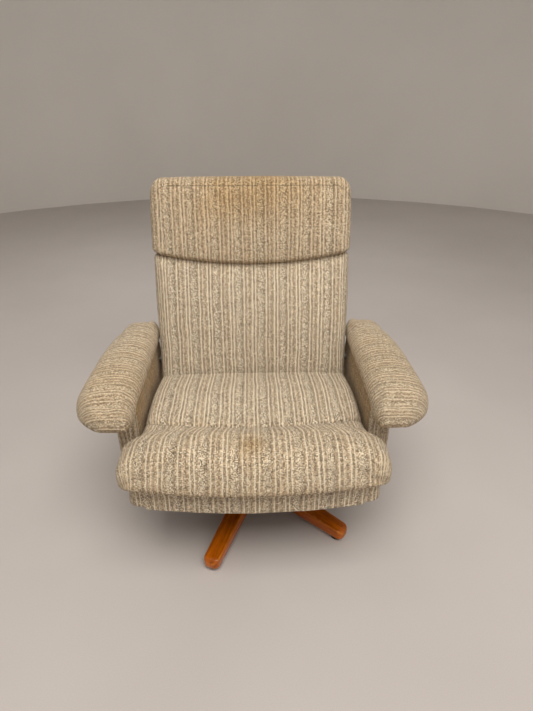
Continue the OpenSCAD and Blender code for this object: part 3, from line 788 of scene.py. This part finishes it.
TILT = math.radians(14.5)
CREASE = np.array([0.0, 0.102, 0.383])
DEEP = np.array([0.0, math.cos(TILT), -math.sin(TILT)])
RISE = np.array([0.0, math.sin(TILT), math.cos(TILT)])
SEAM_V = 0.0875  # depth of the seam between the front cushions and the rear panel
PANEL_V = 0.137  # depth of the rear panel's outer face
BACK_WIDE = 0.2785  # half width of the lower back cushion
HEAD_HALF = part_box("headrest_cushion")[1][0]
HEAD_LOW = 0.346  # height of the headrest's lower edge at the sides
BACK_LOW = -0.039  # height of the foot of the back
BACK_HIGH = 0.552  # height of the top of the back
PANEL_HIGH = BACK_HIGH - 0.008  # height of the top of the rear panel


def smile(x):
    """How far the headrest's lower edge hangs down at x."""
    return 0.031 * (1.0 - (x / HEAD_HALF) ** 2)


def from_back(points):
    """(across, deep, up along the back) to room coordinates."""
    across = points[:, :1] * np.array([1.0, 0.0, 0.0])
    return CREASE + across + points[:, 1:2] * DEEP + points[:, 2:3] * RISE


def to_back(points):
    offset = points - CREASE
    return np.stack([offset[:, 0], offset @ DEEP, offset @ RISE], 1)


def lower_back_shape(points):
    x, v, w = points.T
    front = smoothstep(-v, -0.070, -0.015)
    share = x / BACK_WIDE
    lumbar = 0.010 * np.exp(-(((w - 0.15) / 0.10) ** 2)) * (1 - share**2)
    edge = HEAD_LOW - smile(x)
    under_head = 0.012 * smoothstep(w, edge - 0.022, edge + 0.022)
    v = v + front * (under_head - lumbar)
    x = x * (1.0 + 0.010 * smoothstep(w, 0.08, 0.20))
    return np.stack([x, v, w], 1)


def lower_back_held(points):
    x, v, w = to_back(points).T
    rear = smoothstep(v, SEAM_V - 0.016, SEAM_V - 0.006)
    top = 0.9 * smoothstep(w, HEAD_LOW - smile(x) - 0.012, HEAD_LOW - smile(x) + 0.004)
    foot = 0.8 * smoothstep(-w, 0.0, 0.02)
    return np.maximum.reduce([rear, top, foot])


def groove(v, rim, inset):
    """Distance from the bottom of the groove where a cushion meets the rear panel, inset from the rim."""
    return np.hypot(v - SEAM_V, inset - rim)


def back_cloth(obj, seed, seam, wear_and_shade):
    points = to_back(points_of(obj))
    normals = normals_of(obj)
    nx = np.abs(normals[:, 0])
    nw = normals @ RISE
    x, v, w = points.T
    depth = np.clip(v, 0, None)
    edge = np.maximum(np.hypot(nx, nw), 0.3)
    across = x + np.sign(x) * depth * nx / edge
    along = w + depth * nw / edge
    lay_cloth(obj, across, along, seam, wear_and_shade, seed)


def make_lower_back(materials):
    back = block(
        "back_cushion_cover",
        (-BACK_WIDE, 0.004, BACK_LOW),
        (BACK_WIDE, SEAM_V, HEAD_LOW + 0.002),
        (0.022, 0.026, 0.012),
        COVER_SPACING,
        (0.022, 0.003, 0.012),
    )
    put_points(back, from_back(lower_back_shape(points_of(back))))
    inflate(back, lower_back_held, 4.0, 0.014)
    subdivide(back)
    x, v, w = to_back(points_of(back)).T
    seam = groove(v, BACK_WIDE - np.abs(x), 0.022)
    worn = 0.03 + 0.05 * smoothstep(w, 0.0, 0.3)
    back_cloth(back, 3.0, seam, worn)
    finish_piece(back, materials["striped_weave"], "back", ["back_cushion"])


def headrest_shape(points):
    x, v, w = points.T
    low_part = 1.0 - smoothstep(w, HEAD_LOW + 0.01, HEAD_LOW + 0.15)
    w = w - smile(x) * low_part
    share = x / HEAD_HALF
    front = smoothstep(-v, -0.060, -0.005)
    crown = 0.008 * (1 - share**2) * np.sin(np.pi * np.clip((w - HEAD_LOW) / 0.23, 0, 1))
    v = v - front * crown
    x = x * (1.0 - 0.020 * smoothstep(w, HEAD_LOW + 0.12, BACK_HIGH))
    return np.stack([x, v, w], 1)


def headrest_held(points):
    x, v, w = to_back(points).T
    rear = smoothstep(v, SEAM_V - 0.016, SEAM_V - 0.006)
    edge = np.exp(-(((w - (HEAD_LOW + 0.004 - smile(x))) / 0.007) ** 2)) * (v < 0.05)
    beside = smoothstep(np.abs(x), HEAD_HALF - 0.060, HEAD_HALF - 0.025)
    corner = beside * smoothstep(w, BACK_HIGH - 0.070, BACK_HIGH - 0.035)
    return np.maximum.reduce([rear, edge, corner])


def make_headrest(materials):
    head = block(
        "headrest_cover",
        (-HEAD_HALF - 0.001, -0.014, HEAD_LOW),
        (HEAD_HALF + 0.001, SEAM_V, BACK_HIGH - 0.002),
        (0.034, 0.030, 0.012),
        COVER_SPACING,
        (0.034, 0.003, 0.040),
    )
    put_points(head, from_back(headrest_shape(points_of(head))))
    inflate(head, headrest_held, 4.0, 0.012)
    subdivide(head)
    x, v, w = to_back(points_of(head)).T
    top_seam_w = BACK_HIGH - 0.026 - 0.030 * np.clip((np.abs(x) - 0.225) / 0.05, 0, None) ** 2
    front = v < 0.045
    top_seam = np.where(front, np.abs(w - top_seam_w), 1.0)
    press_in(head, top_seam, 0.0016, 0.005)
    x, v, w = to_back(points_of(head)).T
    rear_seam = groove(v, np.minimum(HEAD_HALF - np.abs(x), BACK_HIGH - 0.002 - w), 0.034)
    soiled = np.exp(-((x / 0.15) ** 2)) * smoothstep(w, HEAD_LOW + 0.03, BACK_HIGH - 0.05)
    worn = 0.30 + 0.42 * soiled + 0.10 * smoothstep(w, HEAD_LOW, BACK_HIGH)
    back_cloth(head, 4.0, np.minimum(rear_seam, top_seam + 0.0016), worn)
    finish_piece(head, materials["striped_weave"], "back", ["headrest_cushion"])


def make_rear_panel(materials):
    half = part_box("back_rear_panel")[1][0]
    panel = block(
        "back_rear_cover",
        (-half, SEAM_V + 0.0005, BACK_LOW),
        (half, PANEL_V, PANEL_HIGH),
        (0.034, 0.003, 0.030),
        0.008,
        (0.034, 0.016, 0.040),
    )

    def crown(points):
        x, v, w = points.T
        rear = smoothstep(v, 0.105, 0.135)
        rise = (w - BACK_LOW) / (BACK_HIGH - BACK_LOW)
        hollow = 0.004 * (1 - np.abs(x / half) ** 3) * np.sin(np.pi * np.clip(rise, 0, 1))
        wrinkle = 0.0008 * ripple(x + 0.6 * w, [(0.31, 0.2, 0.6), (0.17, 1.2, 0.4)])
        x = x * (1.0 - 0.020 * smoothstep(w, HEAD_LOW + 0.12, BACK_HIGH))
        return np.stack([x, v + rear * (hollow + wrinkle - 0.004), w], 1)

    put_points(panel, from_back(crown(points_of(panel))))
    subdivide(panel)
    x, v, w = to_back(points_of(panel)).T
    border = np.minimum(half - np.abs(x), np.minimum(w - BACK_LOW, PANEL_HIGH - w))
    piped = np.where(v > 0.12, np.abs(border - 0.022), 1.0)
    press_in(panel, piped, 0.0018, 0.005)
    x, v, w = to_back(points_of(panel)).T
    beside = np.sign(x) * (PANEL_V - v) * smoothstep(np.abs(x), half - 0.016, half - 0.002)
    above = (PANEL_V - v) * smoothstep(w, BACK_HIGH - 0.030, BACK_HIGH - 0.010)
    seam = np.minimum(groove(v, border, 0.030), piped)
    lay_cloth(panel, x + beside, w + above, seam, 0.03, 5.0)
    finish_piece(panel, materials["striped_weave"], "back", ["back_rear_panel"])


# ---------- arms ----------


ARM_IN, ARM_NOSE, DROOP_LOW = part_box("arm_cap_left")[0]
ARM_OUT, ARM_TAIL, ARM_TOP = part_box("arm_cap_left")[1]
ARM_LOW = 0.430  # underside of the cap behind its drooping nose
PANEL_TOP = 0.453  # where the inner panel tucks in under the bulge of the cap
PANEL_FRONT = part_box("arm_outer_pad_left")[0][1]


def arm_outline(y):
    """Distance of the arm pad's outer edge from the middle of the chair."""
    nose = 0.085 * quarter_round(np.clip(-y - 0.150, 0, 0.118) / 0.120)
    tail = 0.052 * (np.clip(y + 0.06, 0, 0.31) / 0.31) ** 2.2
    end = np.clip(y - (ARM_TAIL - 0.060), 0, 0.0595) / 0.060
    return ARM_OUT + 0.001 - nose - tail - 0.034 * quarter_round(end)


def arm_inline(y):
    """Distance of the arm pad's inner edge from the middle of the chair."""
    tail = np.clip(y - (ARM_TAIL - 0.070), 0, 0.0695) / 0.070
    return ARM_IN + 0.034 * quarter_round(tail)


def arm_shape(points):
    x, y, z = points.T
    share = (x - ARM_IN) / (ARM_OUT - ARM_IN)
    x = arm_inline(y) + share * (arm_outline(y) - arm_inline(y))
    rise = (z - ARM_LOW) / (ARM_TOP - ARM_LOW)
    droop = smoothstep(-y, 0.165, 0.215)
    z = z - (ARM_LOW - DROOP_LOW) * droop * (1.0 - np.clip(rise, 0, 1))
    end = np.clip(y - (ARM_TAIL - 0.065), 0, 0.0645) / 0.065
    slope = 0.010 * share**2 + 0.006 * smoothstep(-y, 0.12, 0.27) + 0.020 * quarter_round(end)
    z = z - slope * smoothstep(rise, 0.2, 0.8)
    under = np.clip((DROOP_LOW + 0.050 - z) / 0.050, 0, 1)
    x = x - 0.020 * droop * quarter_round(np.minimum(under, 0.995)) * smoothstep(share, 0.3, 1.0)
    tucked = smoothstep(y, -0.190, -0.172) * (1.0 - smoothstep(z, PANEL_TOP - 0.012, PANEL_TOP + 0.001))
    x = x + tucked * 0.016 * (1.0 - smoothstep(share, 0.0, 0.35))
    return np.stack([x, y, z], 1)


def arm_held(points):
    x, y, z = points.T
    base = smoothstep(-z, -(ARM_LOW + 0.012), -(ARM_LOW + 0.002)) * (y > -0.18)
    droop_base = smoothstep(-z, -(DROOP_LOW + 0.010), -DROOP_LOW)
    inner = smoothstep(-x, -(ARM_IN + 0.012), -(ARM_IN + 0.003)) * (z < PANEL_TOP + 0.020)
    return np.maximum.reduce([base, droop_base, inner])


def make_arm_cap():
    cap = block(
        "arm_cap_cover_left",
        (ARM_IN, ARM_NOSE, ARM_LOW),
        (ARM_OUT, ARM_TAIL - 0.002, ARM_TOP - 0.001),
        (0.032, 0.046, 0.030),
        0.0052,
        (0.046, 0.040, 0.040),
    )
    put_points(cap, arm_shape(points_of(cap)))
    inflate(cap, arm_held, 4.5, 0.011)
    subdivide(cap)
    return cap


def arm_cloth(obj, shift, seed):
    x, y, z = points_of(obj).T
    x = np.abs(x)
    depth = np.clip(ARM_TOP - 0.004 - z, 0, None)
    nose = smoothstep(-y, -ARM_NOSE - 0.052, -ARM_NOSE - 0.004)
    tail = smoothstep(y, ARM_TAIL - 0.045, ARM_TAIL - 0.004)
    outer = smoothstep(x, arm_outline(y) - 0.050, arm_outline(y) - 0.004)
    across = y + depth * (tail - nose)
    inner = 1.0 - smoothstep(x, arm_inline(y) + 0.004, arm_inline(y) + 0.040)
    along = x + depth * (outer - inner) * (1.0 - nose)
    inner_seam = np.where(x < ARM_IN + 0.020, np.abs(z - PANEL_TOP), 1.0)
    low_seam = np.abs(z - np.where(y < -0.19, DROOP_LOW, ARM_LOW)) + 0.002
    seam = np.minimum(np.where(y > -0.18, inner_seam, 1.0), low_seam)
    wear_and_shade = 0.30 + 0.10 * np.exp(-(((y + 0.12) / 0.12) ** 2)) * smoothstep(z, 0.45, 0.49)
    lay_cloth(obj, across + shift, along, seam, wear_and_shade, seed)


def mirrored(obj, name):
    points = points_of(obj) * np.array([-1.0, 1.0, 1.0])
    faces = [tuple(face.vertices)[::-1] for face in obj.data.polygons]
    return mesh_object(name, points, faces)


def panel_cloth(obj, seed, tone):
    """Upright stripes: across runs along the arm, along runs upwards."""
    points, normals = points_of(obj), normals_of(obj)
    x, y, z = points.T
    low, high = points.min(axis=0), points.max(axis=0)
    facing_front = smoothstep(np.abs(normals[:, 1]), 0.5, 0.8)
    across = y * (1 - facing_front) + (PANEL_FRONT - np.abs(x - low[0])) * facing_front
    seam = np.minimum(high[2] - z, z - low[2]) + 0.001
    lay_cloth(obj, across + 0.021, z, seam, tone, seed)


def make_inner_panel():
    low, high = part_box("arm_inner_pad_left")
    panel = block(
        "arm_inner_cover_left",
        (low[0], low[1] - 0.004, low[2]),
        (high[0] - 0.0002, high[1] - 0.006, PANEL_TOP),
        (0.007, 0.008, 0.012),
        0.006,
    )
    x, y, z = points_of(panel).T
    inner = smoothstep(-x, -0.295, -0.288)
    rise = np.clip((z - low[2]) / (PANEL_TOP - low[2]), 0, 1)
    puff = 0.0035 * np.sin(np.pi * rise) * inner
    ripples = 0.0008 * ripple(y + 0.5 * z, [(0.16, 0.4, 0.6), (0.09, 2.0, 0.4)])
    x = x + 0.007 * inner - puff + ripples * (x < 0.295)
    put_points(panel, np.stack([x, y, z], 1))
    subdivide(panel)
    return panel


def make_outer_panel():
    low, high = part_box("arm_outer_pad_left")
    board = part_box("arm_frame_left")[1][0]
    panel = block(
        "arm_outer_cover_left",
        (board + 0.0002, low[1], low[2]),
        (high[0] - 0.003, high[1] + 0.001, high[2] + 0.006),
        (0.009, 0.010, 0.010),
        0.006,
    )
    x, y, z = points_of(panel).T
    outer = smoothstep(x, board + 0.008, board + 0.012)
    middle = np.sin(np.pi * np.clip((z - low[2]) / (high[2] - low[2]), 0, 1))
    ripples = 0.0007 * ripple(y - 0.4 * z, [(0.19, 1.4, 0.6), (0.11, 0.3, 0.4)])
    put_points(panel, np.stack([x + outer * (0.0018 * middle + ripples), y, z], 1))
    subdivide(panel)
    return panel


def make_edge_strip(name, y_low, y_high):
    """Narrow cover over the front or rear edge of the arm."""
    low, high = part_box("arm_outer_pad_left")
    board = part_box("arm_frame_left")[1][0]
    box_low = (low[0] + 0.0005, y_low, low[2] + 0.001)
    box_high = (board + 0.004, y_high, high[2] + 0.004)
    if y_low > 0:
        box_low = (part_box("arm_frame_left")[0][0] - 0.004, y_low, low[2] + 0.001)
    return block(name, box_low, box_high, (0.006, (y_high - y_low) * 0.49, 0.006), 0.003)


def make_arms(materials):
    weave = materials["striped_weave"]
    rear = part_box("arm_outer_pad_left")[1][1]
    left = {
        "arm_cap": make_arm_cap(),
        "arm_inner_pad": make_inner_panel(),
        "arm_outer_pad": make_outer_panel(),
        "front_strip": make_edge_strip("arm_front_strip_left", PANEL_FRONT, PANEL_FRONT + 0.0068),
        "rear_strip": make_edge_strip("arm_rear_strip_left", rear - 0.0045, rear + 0.002),
    }
    for part, obj in left.items():
        right = mirrored(obj, obj.name.replace("left", "right"))
        for side, piece in (("left", obj), ("right", right)):
            seed = 6.0 if side == "left" else 9.0
            if part == "arm_cap":
                arm_cloth(piece, 0.012 if side == "left" else 0.004, seed)
            else:
                # inner panels get 0.85 against 0.15 on the outer panels: painted shade darkening the inner
                # panels, carried through the wear-and-shade value
                panel_cloth(piece, seed + 1.0, 0.85 if part == "arm_inner_pad" else 0.15)
            node = f"{part}_{side}"
            replaced = [node] if node in nodes else []
            finish_piece(piece, weave, "swivel_frame", replaced)


# ---------- base ----------

LEG_ROOT = 0.047  # where a leg starts, from the middle of the base
LEG_PARALLEL = 0.104  # where it starts to taper
LEG_REACH = 0.328
ROOT_HALF, TIP_HALF = 0.027, 0.022
ROOT_Z = (0.024, 0.066)
TIP_Z = (0.011, 0.042)
LEG_FILLET = 0.0065


def add_grain(obj, grain, edges):
    """Stores where the wood's grain runs and how near each vertex is to a worn edge."""
    store(obj, "grain", grain)
    store(obj, "edge", edges)


def leg_ring(reach, half, low, high):
    """One rounded section of a leg, and how near each point is to an edge."""
    points, edges = [], []
    corners = ((half, low, -90), (half, high, 0), (-half, high, 90), (-half, low, 180))
    radius = min(LEG_FILLET, half * 0.95, (high - low) * 0.48)
    for across, up, start in corners:
        for angle in np.radians(np.linspace(start, start + 90, 6)):
            y = across - math.copysign(radius, across) + radius * math.cos(angle)
            z = up - math.copysign(radius, up - (low + high) / 2) + radius * math.sin(angle)
            points.append((reach, y, z))
            edges.append(math.sin(2 * (angle - math.radians(start))))
    return points, edges


def leg_stations():
    """Reach, half width, bottom and top at each section, with both ends rounded off."""
    rounding = 0.016
    reaches = list(np.linspace(LEG_ROOT + 0.004, LEG_REACH - rounding, 46))
    stations = [(LEG_ROOT, 0.9), (LEG_ROOT + 0.001, 0.96)] + [(r, 1.0) for r in reaches]
    for angle in np.linspace(0.0, np.pi / 2, 12)[1:]:
        reach = LEG_REACH - rounding + rounding * math.sin(angle)
        stations.append((reach, max(0.12, math.cos(angle)) ** 0.6))
    rows = []
    for reach, scale in stations:
        share = min(1.0, max(0.0, (reach - LEG_PARALLEL) / (LEG_REACH - LEG_PARALLEL)))
        half = ROOT_HALF + (TIP_HALF - ROOT_HALF) * share
        low = ROOT_Z[0] + (TIP_Z[0] - ROOT_Z[0]) * share
        high = ROOT_Z[1] + (TIP_Z[1] - ROOT_Z[1]) * share
        trim = (high - low) / 2 * (1 - scale)
        rows.append((reach, half * scale, low + trim * 0.5, high - trim))
    return rows


def make_leg(index, material):
    node = nodes[f"base_leg_{index}"]
    corners = points_of(node)
    distance = np.hypot(corners[:, 0], corners[:, 1])
    tip = corners[distance > 0.97 * distance.max()].mean(axis=0)
    angle = math.atan2(tip[1], tip[0])
    points, edges = [], []
    rows = leg_stations()
    for row in rows:
        ring, ring_edges = leg_ring(*row)
        points += ring
        edges += ring_edges
    grain = np.array(points) + np.array([index * 1.7, 0.0, 0.0])
    c, s = math.cos(angle), math.sin(angle)
    placed = [(x * c - y * s, x * s + y * c, z) for x, y, z in points]
    leg = mesh_object(f"leg_{index}", placed, tube_faces(len(rows), len(ring)))
    add_grain(leg, grain, edges)
    finish_piece(leg, material, "base", [node.name])


# ---------- lock wheels ----------

WHEEL_SECTION = [  # (share of the depth, share of the radius), from the arm outwards
    (0.00, 0.30),
    (0.00, 0.62),
    (0.05, 0.80),
    (0.16, 0.95),
    (0.30, 1.00),
    (0.70, 1.00),
    (0.86, 0.95),
    (0.96, 0.84),
    (1.00, 0.70),
    (0.97, 0.58),
    (0.88, 0.44),
    (0.86, 0.20),
    (0.86, 0.04),
]
FLUTES = 18


def wheel_section():
    """WHEEL_SECTION with two more points between each two of it."""
    section = []
    for (d0, r0), (d1, r1) in zip(WHEEL_SECTION, WHEEL_SECTION[1:]):
        section += [(d0 + (d1 - d0) * k / 3, r0 + (r1 - r0) * k / 3) for k in range(3)]
    return section + [WHEEL_SECTION[-1]]


def make_wheel(side, material):
    """Turned wheel with a fluted rim and a dished face."""
    low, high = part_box(f"lock_wheel_{side}")
    inner, outer = (low[0], high[0]) if side == "left" else (high[0], low[0])
    middle_y, middle_z = (low[1] + high[1]) / 2, (low[2] + high[2]) / 2
    radius = (high[1] - low[1]) / 2 - 0.0003
    section = wheel_section()
    count = FLUTES * 8
    points, grain, edges = [], [], []
    for depth, share in section:
        rim = max(0.0, (share - 0.80) / 0.20)
        for turn in np.linspace(0.0, 2 * np.pi, count, endpoint=False):
            flute = 1.0 - 0.05 * rim * (0.5 + 0.5 * math.cos(FLUTES * turn))
            x = inner + (outer - inner) * depth
            y = radius * share * flute * math.cos(turn)
            z = radius * share * flute * math.sin(turn)
            points.append((x, middle_y + y, middle_z + z))
            grain.append((z + 0.9, y, x))
            edges.append(rim * 0.6)
    faces = []
    for i in range(len(section) - 1):
        for j in range(count):
            k = (j + 1) % count
            quad = (i * count + j, (i + 1) * count + j, (i + 1) * count + k, i * count + k)
            faces.append(quad if side == "left" else quad[::-1])
    first = tuple(range(count))
    last = tuple((len(section) - 1) * count + j for j in range(count))
    faces += [first, last[::-1]] if side == "left" else [first[::-1], last]
    wheel = mesh_object(f"lock_wheel_turned_{side}", points, faces)
    add_grain(wheel, grain, edges)
    finish_piece(wheel, material, f"{side}_wheel", [f"lock_wheel_{side}"])


# ---------- stage ----------


def floor_material():
    t = Tree("floor")
    cloud = t.noise(t.place(), 1.4, 3.0)
    grain = t.noise(t.place(), 420.0, 2.0)
    level = t.add(t.mul(cloud, 0.5), t.mul(grain, 0.5))
    colour = t.ramp(level, [(0.3, (0.50, 0.455, 0.43)), (0.7, (0.58, 0.535, 0.505))])
    t.set(Base_Color=colour, Roughness=0.9)
    return t.material


def wall_material():
    t = Tree("wall")
    cloud = t.noise(t.place(), 0.9, 4.0)
    colour = t.ramp(cloud, [(0.35, (0.72, 0.68, 0.64)), (0.65, (0.76, 0.72, 0.68))])
    t.set(Base_Color=colour, Roughness=0.95)
    return t.material


def make_stage():
    floor = mesh_object("floor", [(-8, -8, 0), (8, -8, 0), (8, 8, 0), (-8, 8, 0)], [(0, 1, 2, 3)])
    floor.data.materials.append(floor_material())
    sides, radius, height = 48, 4.5, 4.2
    turns = np.linspace(0, 2 * np.pi, sides, endpoint=False)
    ring = [(radius * math.cos(turn), radius * math.sin(turn)) for turn in turns]
    points = [(x, y, -0.001) for x, y in ring] + [(x, y, height) for x, y in ring]
    faces = [(i, sides + i, sides + (i + 1) % sides, (i + 1) % sides) for i in range(sides)]
    wall = mesh_object("wall", points, faces)
    wall.data.materials.append(wall_material())
    wall.data.shade_smooth()


def area_light(name, place, target, size, power, colour):
    data = bpy.data.lights.new(name, "AREA")
    data.shape = "RECTANGLE"
    data.size, data.size_y = size
    data.energy = power
    data.color = colour
    light = bpy.data.objects.new(name, data)
    light.location = place
    light.rotation_euler = (Vector(target) - Vector(place)).to_track_quat("-Z", "Y").to_euler()
    bpy.context.scene.collection.objects.link(light)


def make_lights():
    area_light("key", (0.15, -1.40, 2.9), (0, 0, 0.4), (2.0, 1.6), 77.0, (1.0, 0.965, 0.91))
    area_light("fill", (1.7, -1.9, 1.7), (0, 0, 0.4), (1.8, 1.8), 10.0, (1.0, 0.96, 0.92))
    area_light("rear", (-0.6, 2.4, 2.4), (0, 0, 0.5), (2.0, 1.4), 18.0, (1.0, 0.97, 0.93))
    world = bpy.data.worlds.new("studio")
    world.use_nodes = True
    background = world.node_tree.nodes["Background"]
    background.inputs["Color"].default_value = (0.93, 0.91, 0.88, 1.0)
    background.inputs["Strength"].default_value = 0.32
    bpy.context.scene.world = world
    bpy.context.scene.view_settings.view_transform = "Standard"


def main():
    make_camera()
    materials = make_materials()
    dress_cad_nodes(materials)
    make_seat(materials)
    make_apron(materials)
    make_lower_back(materials)
    make_headrest(materials)
    make_rear_panel(materials)
    make_arms(materials)
    for index in range(1, 6):
        make_leg(index, materials["leg_wood"])
    for side in ("left", "right"):
        make_wheel(side, materials["leg_wood"])
    make_stage()
    make_lights()


main()
